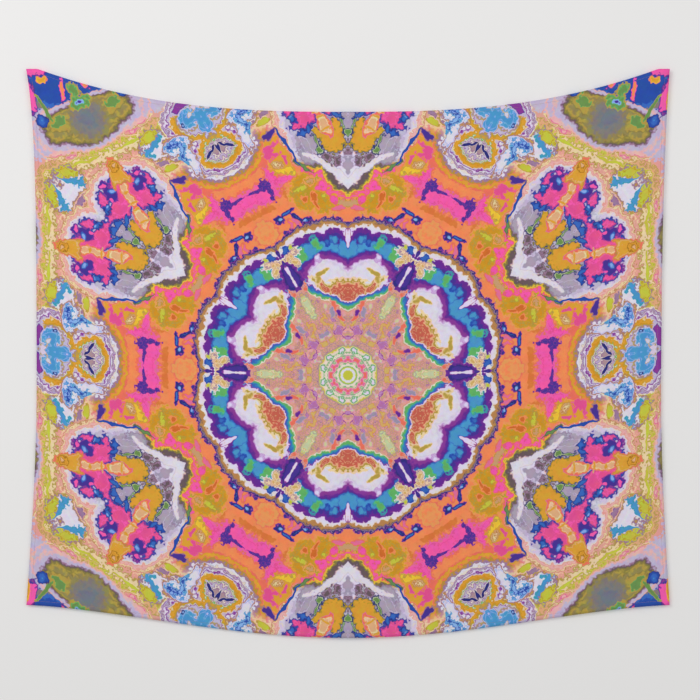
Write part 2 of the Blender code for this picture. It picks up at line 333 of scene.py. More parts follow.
# %% Motifs of the dome in the corners
dome_motifs = [
    ("blue corner", "shell", [(884, 24, 62, 92, 0)], 8, 8, [(-99, "royal"), (-16, "blue"),
     (-6, "grey olive"), (6, clear)]),
    ("corner pink", "shell", [(884, 112, 52, 20, -8), (935, 60, 26, 60, 0)], 8, 9,
     [(-99, "hot pink"), (-4, "plum"), (-1, "indigo"), (2, clear)]),
    ("corner gold", "shell", [(862, 124, 26, 6, -25), (898, 62, 7, 11, 0), (905, 110, 20, 7, 0)],
     4, 7, [(-99, "amber"), (-2, "yellow"), (0, "orange"), (3, clear)]),
    ("dome", "shell", [(776, 0, 47, 92, 0), (778, 84, 28, 36, 0), (800, 40, 28, 80, 0)], 14, 6,
     [(-99, "dome olive"), (-19, "gilt"), (-12, "olive"), (-6, "brown"), (-2, "mauve"),
     (1, "lavender"), (13, "pale pink"), (18, clear)], 5.0),
    ("dome shade", "shell", [(786, 64, 9, 44, -12), (764, 30, 6, 40, 8)], 14, 14, [(-99, "gilt"),
     (-2, "olive"), (4, clear)], 7.0),
    ("dome core", "shell", [(784, 0, 46, 46, 0)], 8, 12, [(-99, "slate"), (-24, "grey olive"),
     (-6, "dome olive"), (6, clear)], 10.0),
    ("moss", "shell", [(800, 72, 10, 20, 10), (834, 88, 34, 4, 6)], 7, 9, [(-99, "moss"),
     (-2, "leaf"), (0, "gilt"), (4, clear)]),
    ("green eye", "shell", [(824, 0, 15, 26, 0), (853, 0, 14, 12, 0)], 6, 7, [(-99, "moss"),
     (-3, "leaf"), (0, "gilt"), (4, clear)]),
    ("eye light", "shell", [(825, 0, 7, 11, 0)], 6, 4, [(-99, "indigo"), (-3, "pale blue"),
     (1, "leaf"), (4, clear)]),
    ("corner rose", "shell", [(864, 28, 18, 5, -20)], 6, 7, [(-99, "orange"), (-1, "hot pink"),
     (3, "indigo"), (5, clear)]),
    ("blue drop", "shell", [(814, 108, 12, 12, 0)], 6, 4, [(-99, "sky"), (-9, "blue"),
     (-3, "royal"), (2, "navy"), (4, clear)]),
]

# %% Motifs of the orange field
field_motifs = [
    ("soft disc", "wedge", [(385, 2, 34, 30, 0)], 8, 7, [(-99, "apricot"), (-20, "orange"),
     (-15, "apricot"), (-6, "coral"), (-3, "orange"), (0, clear)]),
    ("ember", "wedge", [(442, 86, 22, 6, 10), (430, 24, 7, 30, 8)], 8, 12, [(-99, "ember"),
     (-1, "orange"), (5, clear)], 6.0),
    ("gold cloud", "wedge", [(420, 130, 44, 38, 0), (385, 160, 32, 32, 0),
     (450, 148, 16, 40, 0)], 16, 14, [(-99, "old gold"), (-25, "mustard"), (-12, "gilt"),
     (-9, "mustard"), (-4, "amber"), (1, "apricot"), (6, clear)]),
    ("gold veins", "wedge", [(396, 168, 16, 10, 30), (436, 120, 8, 24, 0), (440, 160, 9, 14, 0)],
     9, 14, [(-99, "lime"), (-7, "old gold"), (-3, "gilt"), (0, clear)]),
    ("tan cloud", "wedge", [(356, 194, 14, 18, 10), (441, 150, 7, 9, 0)], 8, 9,
     [(-99, "tan peach"), (-3, "old gold"), (0, "apricot"), (5, clear)]),
    ("gold spots", "wedge", [(402, 141, 15, 5, 10), (411, 121, 7, 8, 0), (386, 136, 9, 3, 0)], 3,
     6, [(-99, "rust"), (-1, "orange"), (3, clear)]),
    ("pink patches", "wedge", [(374, 177, 9, 8, 0), (394, 182, 7, 10, 30), (415, 174, 14, 11, 0),
     (420, 164, 6, 10, 0), (456, 166, 5, 16, 34), (384, 200, 4, 16, 24)], 5, 8,
     [(-99, "hot pink"), (-2, "shell pink"), (0, "coral"), (3, "amber"), (5, clear)]),
    ("hot field", "wedge", [(464, 42, 26, 40, 0), (490, 78, 24, 14, 0), (474, 100, 9, 26, 10),
     (468, 4, 24, 20, 0)], 14, 10, [(-99, "hot pink"), (-11, "shell pink"), (-8, "hot pink"),
     (-3, "rose"), (0, "coral"), (5, clear)]),
    ("squiggle", "wedge", [(459, 59, 15, 5, 12), (481, 52, 11, 12, -30), (477, 28, 4, 18, 10)],
     7, 10, [(-99, "indigo"), (-6, "plum"), (-4, "indigo"), (0, "purple"), (2, "plum"),
     (4, clear)]),
    ("dash chain", "wedge", [(361, 98, 7, 13, 35), (378, 81, 13, 4, -28), (357, 48, 11, 4, -50),
     (399, 66, 4, 15, 0), (393, 44, 7, 8, 0)], 6, 7, [(-99, "blue"), (-4, "navy"), (0, "indigo"),
     (2, "plum"), (3, "coral"), (5, clear)]),
    ("dash lights", "wedge", [(392, 45, 2, 3, 0), (364, 92, 2, 3, 0)], 2, 2, [(-99, "pale blue"),
     (1, clear)]),
    ("pink fringe", "wedge", [(352, 176, 5, 14, 20), (366, 74, 12, 4, -20), (372, 60, 9, 3, 0)],
     5, 6, [(-99, "rose"), (0, "coral"), (4, clear)]),
]

# %% Motifs of the shell
shell_motifs = [
    ("shell left", "shell", [(520, 50, 66, 50, 0), (588, 18, 74, 74, 0), (420, 4, 54, 52, 0)],
     16, 8, [(-99, "white"), (-17, "cream"), (-14, "mauve"), (-11, "brown"), (-3, "olive"),
     (1, "gilt"), (3, "yellow"), (6, "coral"), (10, "hot pink"), (14, "coral"), (16, clear)]),
    ("shell right", "shell right", [(520, 50, 64, 48, 0), (588, 14, 72, 76, 0)], 16, 7,
     [(-99, "grey lavender"), (-30, "dusty lilac"), (-27, "grey lavender"), (-18, "lavender"),
     (-8, "pale lilac"), (-1, "pale"), (2, "salmon"), (5, "pale pink"), (9, "salmon"),
     (12, "cream"), (15, "tan"), (17, "salmon"), (20, clear)]),
    ("grey slope", "shell", [(492, 72, 24, 14, 24), (470, 54, 22, 9, 34)], 10, 8,
     [(-99, "grey lavender"), (-3, "dusty lilac"), (0, "mauve"), (3, clear)], 4.0),
    ("white stream", "shell", [(408, 26, 30, 10, 14), (446, 41, 24, 8, 22),
     (484, 62, 26, 5, 34)], 10, 9, [(-99, "white"), (-2, "pale"), (0, "white"), (2, "lavender"),
     (5, clear)], 3.0),
    ("brown spur", "shell", [(452, 17, 11, 9, 20), (474, 34, 14, 6, 30)], 6, 8, [(-99, "brown"),
     (-3, "mauve"), (0, "brown"), (2, "lavender"), (4, clear)], 3.0),
    ("grey heart", "shell", [(422, 2, 20, 9, 0), (520, 62, 26, 7, 6)], 5, 8,
     [(-99, "grey lavender"), (-2, "dusty lilac"), (0, "lavender"), (4, clear)]),
    ("amber lobe", "shell", [(498, 2, 30, 26, 0), (526, 22, 20, 9, 14)], 8, 9, [(-99, "amber"),
     (-3, "old gold"), (0, "olive"), (2, "navy"), (4, "grey lavender"), (6, clear)]),
    ("teal eye", "shell", [(492, 40, 12, 6, -24), (520, 36, 14, 3, 0)], 5, 7, [(-99, "moss"),
     (-3, "pale green"), (-1, "dark teal"), (1, "navy"), (3, clear)]),
    ("pink body", "shell", [(573, 34, 24, 24, 0), (567, 60, 11, 13, 0), (607, 62, 17, 12, 0),
     (606, 22, 38, 18, 0)], 7, 8, [(-99, "shell pink"), (-11, "hot pink"), (-8, "shell pink"),
     (-3, "plum"), (0, "royal"), (3, "indigo"), (5, "lavender"), (7, clear)]),
    ("royal spots", "shell", [(587, 61, 8, 8, 0), (546, 36, 13, 5, -30), (546, 56, 7, 10, 0)], 3,
     7, [(-99, "blue"), (-3, "royal"), (0, "navy"), (2, clear)]),
    ("indigo knot", "shell", [(612, 38, 17, 14, 20), (636, 43, 9, 11, 0)], 5, 7,
     [(-99, "indigo"), (0, "plum"), (3, clear)]),
    ("knot lights", "shell", [(618, 34, 4, 5, 0), (590, 60, 2, 3, 0)], 2, 3, [(-99, "pale blue"),
     (0, "blue"), (3, clear)]),
    ("knot pinks", "shell", [(634, 44, 3, 5, 0), (600, 46, 4, 2, 0)], 2, 4, [(-99, "hot pink"),
     (2, clear)]),
    ("spine", "shell", [(540, 0, 26, 12, 0), (590, 0, 26, 10, 0), (614, 0, 22, 9, 0)], 4, 6,
     [(-99, "peach"), (-7, "cream"), (-4, "apricot"), (-1, "coral"), (3, "rose"), (5, clear)]),
]

# %% Motifs of the shell's spine and of the wing beside it
wing_motifs = [
    ("spine bars", "shell", [(531, 0, 2, 9, 0), (560, 0, 3, 8, 0), (576, 0, 2, 10, 0),
     (602, 0, 3, 7, 0)], 2, 5, [(-99, "amber"), (0, "peach"), (2, clear)]),
    ("amber head", "shell", [(652, 0, 28, 17, 0), (642, 12, 20, 8, -30)], 6, 6, [(-99, "amber"),
     (-6, "peach"), (-4, "amber"), (-1, "tan"), (1, "coral"), (4, clear)]),
    ("head rings", "shell", [(664, 0, 14, 9, 0)], 4, 6, [(-99, "peach"), (-8, "dark gold"),
     (-6, "amber"), (-2, "dark gold"), (1, "amber"), (2, clear)]),
    ("green sill", "wedge", [(478, 153, 20, 4, -28)], 4, 5, [(-99, "moss"), (-1, "dark teal"),
     (1, "olive"), (4, clear)]),
    ("wing", "wedge", [(522, 120, 46, 20, 0), (545, 104, 34, 17, 24), (506, 104, 20, 20, 0),
     (568, 126, 12, 14, 0)], 8, 7, [(-99, "amber"), (-3, "apricot"), (0, "coral"), (3, clear)]),
    ("wing apex", "wedge", [(482, 120, 14, 10, -60), (492, 102, 5, 16, 20)], 8, 7,
     [(-99, "yellow"), (-2, "gilt"), (0, "amber"), (3, clear)]),
    ("wing pink", "wedge", [(540, 99, 18, 11, 25), (557, 120, 5, 11, -10), (514, 124, 14, 3, 0),
     (533, 114, 4, 10, 0)], 5, 8, [(-99, "shell pink"), (-1, "rose"), (1, "coral"), (3, clear)]),
    ("wing gold", "wedge", [(508, 104, 11, 14, 0)], 5, 7, [(-99, "tan"), (-9, "cream"),
     (-7, "tan"), (-4, "peach"), (-2, "tan"), (0, "amber"), (2, clear)]),
    ("wing tip", "wedge", [(581, 120, 6, 18, -8)], 5, 6, [(-99, "indigo"), (0, "purple"),
     (2, "mauve"), (4, "tan"), (6, clear)]),
    ("wing edge", "wedge", [(533, 146, 50, 3, -3)], 4, 3, [(-99, "royal"), (0, "indigo"),
     (2, clear)]),
]

# %% Motifs of the middle medallion
medallion_motifs = [
    ("medallion", "wedge", [(228, 61, 123, 123, 0), (290, 131, 47, 42, 0)], 6, 6, [(-99, "sky"),
     (-38, "blue"), (-34, "indigo"), (-25, "purple"), (-16, "plum"), (-14, "lilac"),
     (-11, "white"), (-6, "pale"), (-4, "tan"), (3, "brown"), (5, "mauve"), (7, "navy"),
     (10, "plum"), (12, clear)]),
    ("axis light", "wedge", [(276, 159, 24, 5, 30)], 5, 5, [(-99, "lilac"), (-2, "pale pink"),
     (0, "plum"), (3, clear)]),
    ("inner blue", "wedge", [(254, 137, 24, 9, 8)], 5, 5, [(-99, "sky"), (1, "blue"),
     (4, clear)]),
    ("green drift", "wedge", [(306, 90, 11, 5, 0)], 5, 8, [(-99, "leaf"), (0, "green"),
     (4, "teal"), (7, clear)], 4.0),
    ("leaf drift", "wedge", [(296, 46, 13, 7, 10)], 5, 8, [(-99, "leaf"), (2, "green"),
     (6, "teal"), (8, clear)], 4.0),
    ("speckled stone", "wedge", [(294, 24, 20, 8, -6), (320, 36, 9, 10, 30), (304, 16, 6, 8, 0)],
     5, 9, [(-99, "straw"), (-9, "cream"), (-6, "tan peach"), (-4, "cream"), (-1, "mauve"),
     (1, "cream"), (4, "white"), (7, clear)]),
    ("lime stone", "wedge", [(323, 34, 5, 10, -12)], 4, 7, [(-99, "lime"), (-2, "pale green"),
     (1, "mauve"), (3, clear)]),
    ("blue drift", "wedge", [(294, 114, 7, 6, 30), (325, 18, 9, 8, 0)], 4, 7, [(-99, "blue"),
     (-2, "royal"), (2, clear)]),
    ("ring purple", "wedge", [(325, 56, 6, 11, 0), (334, 78, 4, 8, 0)], 5, 7, [(-99, "purple"),
     (2, clear)]),
    ("heart", "wedge", [(232, 71, 30, 37, 0), (200, 87, 36, 33, 0), (163, 84, 28, 10, -16)], 9,
     4, [(-99, "white"), (-3, "pale lilac"), (1, "lilac"), (4, "orchid"), (7, "plum"),
     (17, "purple"), (22, "indigo"), (24, "blue"), (28, clear)], 3.0),
    ("heart light", "wedge", [(273, 79, 6, 3, 0)], 4, 5, [(-99, "lilac"), (1, "orchid"),
     (4, clear)], 4.0),
    ("heart brick", "wedge", [(170, 94, 19, 15, 0), (207, 57, 19, 4, -28), (187, 76, 9, 12, 0)],
     6, 8, [(-99, "brick"), (-8, "peach"), (-7, "brick"), (0, "peach"), (6, "gilt"),
     (7, "old gold"), (10, "gilt"), (12, "cream"), (18, clear)]),
    ("heart hook", "wedge", [(230, 52, 10, 4, 34), (238, 64, 4, 13, 0)], 7, 6, [(-99, "gilt"),
     (0, "straw"), (2, "cream"), (6, clear)], 3.0),
]
star_edge = [(-999, "salmon"), (-4, "tan peach"), (-2, "pale"), (1, "leaf"), (6, "teal"),
             (10, "blue"), (15, "plum"), (16, "lilac"), (19, clear)]
lace_motifs = [
    ("axis sky", "wedge", [(244, 6, 12, 16, 0)], 5, 6, [(-99, "sky"), (2, clear)]),
    ("axis eye", "wedge", [(264, 0, 30, 21, 0), (300, 0, 34, 3, 0)], 8, 4, [(-99, "indigo"),
     (-4, "navy"), (-1, "purple"), (3, "plum"), (4, clear)], 3.0),
    ("axis slit", "wedge", [(264, 0, 21, 5, 0)], 5, 3, [(-99, "white"), (0, "lilac"),
     (2, "plum"), (4, clear)], 3.0),
    ("lace heather", "wedge", [(101, 33, 9, 12, -15), (75, 40, 6, 5, 0), (128, 37, 4, 5, 0)], 4,
     12, [(-99, "heather"), (-4, "orchid"), (-2, "heather"), (0, "plum"), (1, "salmon"),
     (4, clear)]),
    ("lace gold", "wedge", [(140, 15, 10, 7, 20), (92, 10, 7, 6, 0), (118, 50, 6, 4, 0),
     (118, 22, 4, 6, 0)], 4, 12, [(-99, "straw"), (-2, "amber"), (1, "mauve"), (2, "salmon"),
     (4, clear)]),
    ("lace coral", "wedge", [(134, 56, 14, 4, 0), (156, 52, 8, 4, 0), (229, 12, 8, 5, 20)], 4, 7,
     [(-99, "coral"), (1, "salmon"), (4, clear)]),
    ("lace spots", "wedge", [(142, 57, 4, 3, 0)], 2, 4, [(-99, "purple"), (1, "plum"),
     (3, clear)]),
    ("lace sky", "wedge", [(146, 42, 7, 4, 0), (112, 5, 5, 4, 0)], 4, 8, [(-99, "dusty lilac"),
     (1, "orchid"), (3, clear)]),
    ("lace oval", "wedge", [(184, 0, 30, 13, 0)], 5, 9, [(-99, "pale green"), (-10, "straw"),
     (-8, "pale"), (-6, "lime"), (-4, "pale green"), (-1, "mauve"), (1, "straw"), (4, "mauve"),
     (5, "salmon"), (8, clear)]),
]
rosette_bands = [(0, "lime"), (12, "white"), (17, "lime"), (20, "leaf"), (22, "pale"),
                 (30, "pale pink"), (33, "pale"), (37, "leaf"), (40, "pale"), (46, "orchid"),
                 (48, "pale"), (54, "leaf"), (56, "pale"), (62, "cream"), (65, "lime"),
                 (69, "dusty"), (72, clear)]
rosette_motifs = [
    ("petals", "wedge", [(33, 17, 8, 6, 24), (40, 4, 6, 5, 0)], 3, 6, [(-99, "coral"),
     (-3, "rose"), (0, "pale pink"), (2, "leaf"), (4, clear)]),
    ("dots", "wedge", [(56, 15, 5, 5, 0)], 3, 4, [(-99, "white"), (-1, "leaf"), (2, "pale"),
     (3, clear)]),
]


# %% Fold the cloth into the wedge
wedge_angle = math.pi / 6
shell_mirror = 248.0         # mm from the wedge's lower side
print_group = bpy.data.node_groups.new("printed_design", "ShaderNodeTree")
print_group.interface.new_socket("Color", in_out="OUTPUT", socket_type="NodeSocketColor")
tree = print_group

laid = add_node(tree, "ShaderNodeUVMap", uv_map="print")
in_mm = add_node(tree, "ShaderNodeVectorMath", {0: laid.outputs[0], 1: (1000, 1000, 0)},
                 operation="MULTIPLY")
apart = add_node(tree, "ShaderNodeSeparateXYZ", {0: in_mm.outputs[0]})
angle = add_node(tree, "ShaderNodeMath", {0: apart.outputs["Y"], 1: apart.outputs["X"]},
                 operation="ARCTAN2")
folded_angle = add_node(tree, "ShaderNodeMath", {0: angle.outputs[0], 1: wedge_angle},
                        operation="PINGPONG")
reach = add_node(tree, "ShaderNodeVectorMath", {0: in_mm.outputs[0]}, operation="LENGTH")
cosine = add_node(tree, "ShaderNodeMath", {0: folded_angle.outputs[0]}, operation="COSINE")
sine = add_node(tree, "ShaderNodeMath", {0: folded_angle.outputs[0]}, operation="SINE")
unit = add_node(tree, "ShaderNodeCombineXYZ", {0: cosine.outputs[0], 1: sine.outputs[0]})
folded = add_node(tree, "ShaderNodeVectorMath",
                  {0: unit.outputs[0], "Scale": reach.outputs["Value"]}, operation="SCALE")

# %% [markdown]
# Three shared noises keep the drawing alive: a slow one that bends every shape, a fine one
# that frays the edges, and a mottling of the inks.  They read the folded place, so the
# mirrors stay perfect.

# %% Shared noises
bend = add_node(tree, "ShaderNodeTexNoise", {"Vector": folded.outputs[0], "Scale": 1 / 34.0,
                                             "Detail": 2.0, "Roughness": 0.55},
                noise_dimensions="2D")
bend_move = add_node(tree, "ShaderNodeVectorMath",
                     {0: bend.outputs["Color"], 1: (-0.5, -0.5, 0.0)}, operation="ADD")
wedge_place = add_node(tree, "ShaderNodeVectorMath",
                       {0: bend_move.outputs[0], 1: (17, 17, 0), 2: folded.outputs[0]},
                       operation="MULTIPLY_ADD")
fray = add_node(tree, "ShaderNodeTexNoise", {"Vector": folded.outputs[0], "Scale": 1 / 9.5,
                                             "Detail": 1.6, "Roughness": 0.5},
                noise_dimensions="2D")
frayed = add_node(tree, "ShaderNodeMath", {0: fray.outputs["Fac"], 1: 2.6, 2: -1.3},
                  operation="MULTIPLY_ADD")

place_parts = add_node(tree, "ShaderNodeSeparateXYZ", {0: wedge_place.outputs[0]})
along, aside = place_parts.outputs["X"], place_parts.outputs["Y"]
from_mirror = add_node(tree, "ShaderNodeMath", {0: aside, 1: shell_mirror},
                       operation="SUBTRACT")
mirrored = add_node(tree, "ShaderNodeMath", {0: from_mirror.outputs[0]}, operation="ABSOLUTE")
right_part = add_node(tree, "ShaderNodeMapRange",
                      {"Value": along, "From Min": 474.0, "From Max": 500.0})
arch_left = add_node(tree, "ShaderNodeMapRange",
                     {"Value": along, "From Min": 612.0, "From Max": 588.0})
wedge_swapped = add_node(tree, "ShaderNodeCombineXYZ", {0: aside, 1: along})
shell_place = add_node(tree, "ShaderNodeCombineXYZ", {0: along, 1: mirrored.outputs[0]})
shell_swapped = add_node(tree, "ShaderNodeCombineXYZ", {0: mirrored.outputs[0], 1: along})
shared = {"Wedge": wedge_place.outputs[0], "Wedge swapped": wedge_swapped.outputs[0],
          "Shell": shell_place.outputs[0], "Shell swapped": shell_swapped.outputs[0],
          "Fray": frayed.outputs[0], "shell right": right_part.outputs[0],
          "arch left": arch_left.outputs[0]}


# %% [markdown]
# An ellipse is a place scaled so that its edge lies one unit from the middle.  A turned one
# needs both coordinates in each term, so every layer also gets its coordinates swapped:
# two multiply-adds then do what a rotation would, and the values stay plain vectors, which
# keeps the renderer's working memory small with hundreds of nodes.


# %% Painting one motif
def melted_shape(tree, place, swapped, ellipses, melt):
    """Millimetres outside a few ellipses that melt into each other."""
    outside = None
    for x, y, half_long, half_wide, turn in ellipses:
        cos, sin = math.cos(math.radians(turn)), math.sin(math.radians(turn))
        middle = (half_long + half_wide) / 2
        centre = (-(cos * x + sin * y) / half_long, -(cos * y - sin * x) / half_wide, 0.0)
        local = add_node(tree, "ShaderNodeVectorMath", {
            0: place, 1: (cos / half_long, cos / half_wide, 0.0), 2: centre},
            operation="MULTIPLY_ADD")
        if turn:
            local = add_node(tree, "ShaderNodeVectorMath", {
                0: swapped, 1: (sin / half_long, -sin / half_wide, 0.0), 2: local.outputs[0]},
                operation="MULTIPLY_ADD")
        size = add_node(tree, "ShaderNodeVectorMath", {0: local.outputs[0]}, operation="LENGTH")
        away = add_node(tree, "ShaderNodeMath", {0: size.outputs["Value"], 1: middle, 2: -middle},
                        operation="MULTIPLY_ADD")
        if outside is not None:
            away = add_node(tree, "ShaderNodeMath",
                            {0: outside, 1: away.outputs[0], 2: melt}, operation="SMOOTH_MIN")
        outside = away.outputs[0]
    return outside


def band_stops(bands, soft):
    """Ramp stops for flat bands that run into each other over `soft` millimetres."""
    stops = []
    for (_, before), (start, after) in zip(bands, bands[1:]):
        for at, name, other in ((start - soft / 2, before, after),
                                (start + soft / 2, after, before)):
            at = max(at, stops[-1][0] + 0.05) if stops else at
            stops.append((at, to_linear(ink[name or other], 1.0 if name else 0.0)))
    return stops


def paint(tree, under, outside, fray, bands, roughness, where=None, soft=2.0):
    """Lay a motif's bands over what is already painted."""
    edge = add_node(tree, "ShaderNodeMath", {0: fray, 1: roughness, 2: outside},
                    operation="MULTIPLY_ADD")
    stops = band_stops(bands, soft)
    low, high = stops[0][0], stops[-1][0]
    share = add_node(tree, "ShaderNodeMapRange",
                     {"Value": edge.outputs[0], "From Min": low, "From Max": high})
    ramp = add_node(tree, "ShaderNodeValToRGB", {"Fac": share.outputs[0]})
    elements = ramp.color_ramp.elements
    while len(elements) < len(stops):
        elements.new(1.0)
    for element, (at, colour) in zip(elements, stops):
        element.position = (at - low) / (high - low)
        element.color = colour
    cover = ramp.outputs["Alpha"]
    if where is not None:
        cover = add_node(tree, "ShaderNodeMath", {0: cover, 1: where},
                         operation="MULTIPLY").outputs[0]
    return add_node(tree, "ShaderNodeMix", {0: cover, 6: under, 7: ramp.outputs["Color"]},
                    data_type="RGBA").outputs[2]


def paint_motifs(under, name, motifs):
    """A layer of motifs as its own node group, laid over what is under it."""
    layer = bpy.data.node_groups.new(name, "ShaderNodeTree")
    layer.interface.new_socket("Under", in_out="INPUT", socket_type="NodeSocketColor")
    for socket_name, socket in shared.items():
        kind = "NodeSocketVector" if socket.type == "VECTOR" else "NodeSocketFloat"
        layer.interface.new_socket(socket_name, in_out="INPUT", socket_type=kind)
    layer.interface.new_socket("Color", in_out="OUTPUT", socket_type="NodeSocketColor")
    given = add_node(layer, "NodeGroupInput").outputs
    colour = given["Under"]
    for _, where, ellipses, melt, roughness, bands, *soft in motifs:
        place = "Shell" if where.startswith("shell") else "Wedge"
        outside = melted_shape(layer, given[place], given[place + " swapped"], ellipses, melt)
        mask = given[where] if where in ("shell right", "arch left") else None
        colour = paint(layer, colour, outside, given["Fray"], bands, roughness, mask, *soft)
    add_node(layer, "NodeGroupOutput", {0: colour})
    print(name, "motifs:", len(motifs), "nodes:", len(layer.nodes))
    used = add_node(print_group, "ShaderNodeGroup", node_tree=layer)
    for socket_name, socket in {"Under": under, **shared}.items():
        print_group.links.new(socket, used.inputs[socket_name])
    return used.outputs[0]


# %% Ground of the design
ground_bands = [(0, "orange"), (520, "coral"), (545, "peach"), (572, "tan"), (578, "salmon"),
                (600, "cream"), (615, "salmon"), (626, "gilt"), (634, "pale pink"), (650, "tan"),
                (658, "cream"), (672, "salmon"), (682, "gilt"), (688, "cream"), (704, "gilt"),
                (708, "lime"), (715, "peach")]
outer_bands = [(0, clear), (714, "peach"), (722, "gilt"), (726, "salmon"), (742, "lavender"),
               (775, "pale pink"), (800, "lavender"), (840, "royal")]
colour = paint(tree, add_node(tree, "ShaderNodeRGB").outputs[0], along, frayed.outputs[0],
               ground_bands, 16.0, soft=4.0)
colour = paint(tree, colour, along, frayed.outputs[0], outer_bands, 12.0, soft=4.0)
for name, motifs in (("arch", arch_motifs), ("dome", dome_motifs), ("field", field_motifs),
                     ("shell", shell_motifs), ("wing", wing_motifs),
                     ("medallion", medallion_motifs)):
    colour = paint_motifs(colour, name, motifs)

# %% The star, its lace and the rosette
star_line = add_node(tree, "ShaderNodeVectorMath",
                     {0: wedge_place.outputs[0], 1: (0.595, 0.804, 0.0)}, operation="DOT_PRODUCT")
star_outside = add_node(tree, "ShaderNodeMath", {0: star_line.outputs["Value"], 1: 141.0},
                        operation="SUBTRACT")
colour = paint(tree, colour, star_outside.outputs[0], frayed.outputs[0], star_edge, 4.0)
lace_noise = add_node(tree, "ShaderNodeTexNoise", {"Vector": folded.outputs[0], "Scale": 1 / 20.0,
                                                   "Detail": 2.4, "Roughness": 0.6},
                      noise_dimensions="2D")
lace_bands = [(0, "mauve"), (31, "heather"), (35, "plum"), (36, "straw"), (41, "mauve"),
              (43, "salmon"), (47, "plum"), (48, "tan peach"), (52, "mauve"), (54, "straw"),
              (58, "heather"), (61, "salmon"), (66, "orchid"), (70, "pale green")]
lace_height = add_node(tree, "ShaderNodeMath", {0: lace_noise.outputs["Fac"], 1: 100.0},
                       operation="MULTIPLY")
inside_star = add_node(tree, "ShaderNodeMapRange",
                       {"Value": star_outside.outputs[0], "From Min": -4.0, "From Max": -12.0,
                        "To Max": 0.85})
colour = paint(tree, colour, lace_height.outputs[0], frayed.outputs[0], lace_bands, 3.0,
               inside_star.outputs[0], soft=1.0)
colour = paint_motifs(colour, "lace", lace_motifs)
from_middle = add_node(tree, "ShaderNodeVectorMath", {0: folded.outputs[0]}, operation="LENGTH")
colour = paint(tree, colour, from_middle.outputs["Value"], frayed.outputs[0], rosette_bands, 4.0)
colour = paint_motifs(colour, "rosette", rosette_motifs)

# %% Mottled ink
mottle = add_node(tree, "ShaderNodeTexNoise", {"Vector": folded.outputs[0], "Scale": 1 / 20.0,
                                               "Detail": 5.0, "Roughness": 0.72},
                  noise_dimensions="2D")
mottle_tint = add_node(tree, "ShaderNodeVectorMath",
                       {0: mottle.outputs["Color"], 1: (0.42, 0.62, 0.55), 2: (0.80, 0.70, 0.79)},
                       operation="MULTIPLY_ADD")
mottled = add_node(tree, "ShaderNodeVectorMath", {0: colour, 1: mottle_tint.outputs[0]},
                   operation="MULTIPLY")
add_node(tree, "NodeGroupOutput", {0: mottled.outputs[0]})

# %% [markdown]
# ## The cloth and its finish
#
# The cloth is polyester microfibre: a plain weave of threads about 0.25 mm apart, printed
# on the front by dye transfer.  The dye sinks in, so the front is matt with a soft sheen,
# and the back is off-white with the design faint behind it.  The real weave is too fine to
# show here, so its relief is drawn with threads 1.6 mm apart.


# %% Cloth materials
thread_pitch = 0.0016
waves_per_metre = 2 * math.pi / 20 / thread_pitch     # a wave node counts 20 radians a unit


def printed_cloth(name, ink_share, bare):
    """Woven polyester with that share of the print showing."""
    material, tree = start_material(name)
    design = add_node(tree, "ShaderNodeGroup")
    design.node_tree = print_group
    tinted = add_node(tree, "ShaderNodeMix", {0: ink_share, 6: to_linear(bare),
                                              7: design.outputs[0]}, data_type="RGBA")
    place = add_node(tree, "ShaderNodeTexCoord")
    across = add_node(tree, "ShaderNodeTexWave", {"Vector": place.outputs["Object"],
                                                  "Scale": waves_per_metre,
                                                  "Distortion": 0.6, "Detail": 1.0},
                      bands_direction="X")
    down = add_node(tree, "ShaderNodeTexWave", {"Vector": place.outputs["Object"],
                                                "Scale": waves_per_metre,
                                                "Distortion": 0.6, "Detail": 1.0},
                    bands_direction="Z")
    weave = add_node(tree, "ShaderNodeMath", {0: across.outputs["Fac"], 1: down.outputs["Fac"]},
                     operation="MAXIMUM")
    relief = add_node(tree, "ShaderNodeBump", {"Height": weave.outputs[0], "Strength": 0.25,
                                               "Distance": 0.0003})
    end_material(tree, {"Base Color": tinted.outputs[2], "Roughness": 0.85,
                        "Specular IOR Level": 0.2, "Normal": relief.outputs[0]})
    return material


cloth_front = printed_cloth("dye_printed_microfibre", 1.0, "#F3F1EE")
cloth_reverse = printed_cloth("microfibre_reverse", 0.16, "#F3F1EE")

# %% [markdown]
# ## The panel
#
# A hung sheet is one surface, so the panel starts as a grid that the hang formula bends,
# and Solidify's operator gives it the cloth's thickness.  Every corner of its faces gets
# two UVs: `print` says where on the design it lies, and `OFBake` keeps front and back apart.


# %% Place on the design
print_half_width = 0.747
print_middle_z = -0.7118


def design_place(point):
    """Where a hung point lies on the printed design, in metres.

    The weight of the cloth pulls the rows of the print up toward the hooks: by about
    68 mm at the side edges, as in the middle of a sagging sheet they stay low.
    """
    across = point.x / print_half_width
    lift = 0.0495 * across ** 2 + 0.0181 * across ** 4
    y = (point.z - print_middle_z - lift) / (0.992 * (1.0 + 0.022 * across ** 2))
    x = point.x / (1.0 - 0.003 * across ** 2)
    return (x, y)


def link_piece(name, mesh, body, slot, *replaced):
    """Put a finished mesh in the scene, riding on its body."""
    piece = bpy.data.objects.new(name, mesh)
    bpy.context.scene.collection.objects.link(piece)
    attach(piece, body)
    if replaced:
        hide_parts(*replaced)
    low, high = Vector(piece.bound_box[0]), Vector(piece.bound_box[6])
    print(name, "faces:", len(mesh.polygons), "box, mm:",
          [round(1000 * side, 1) for side in high - low])
    return piece


# %% Make the panel
def spread(start, end, steps):
    return [start + (end - start) * i / steps for i in range(steps + 1)]


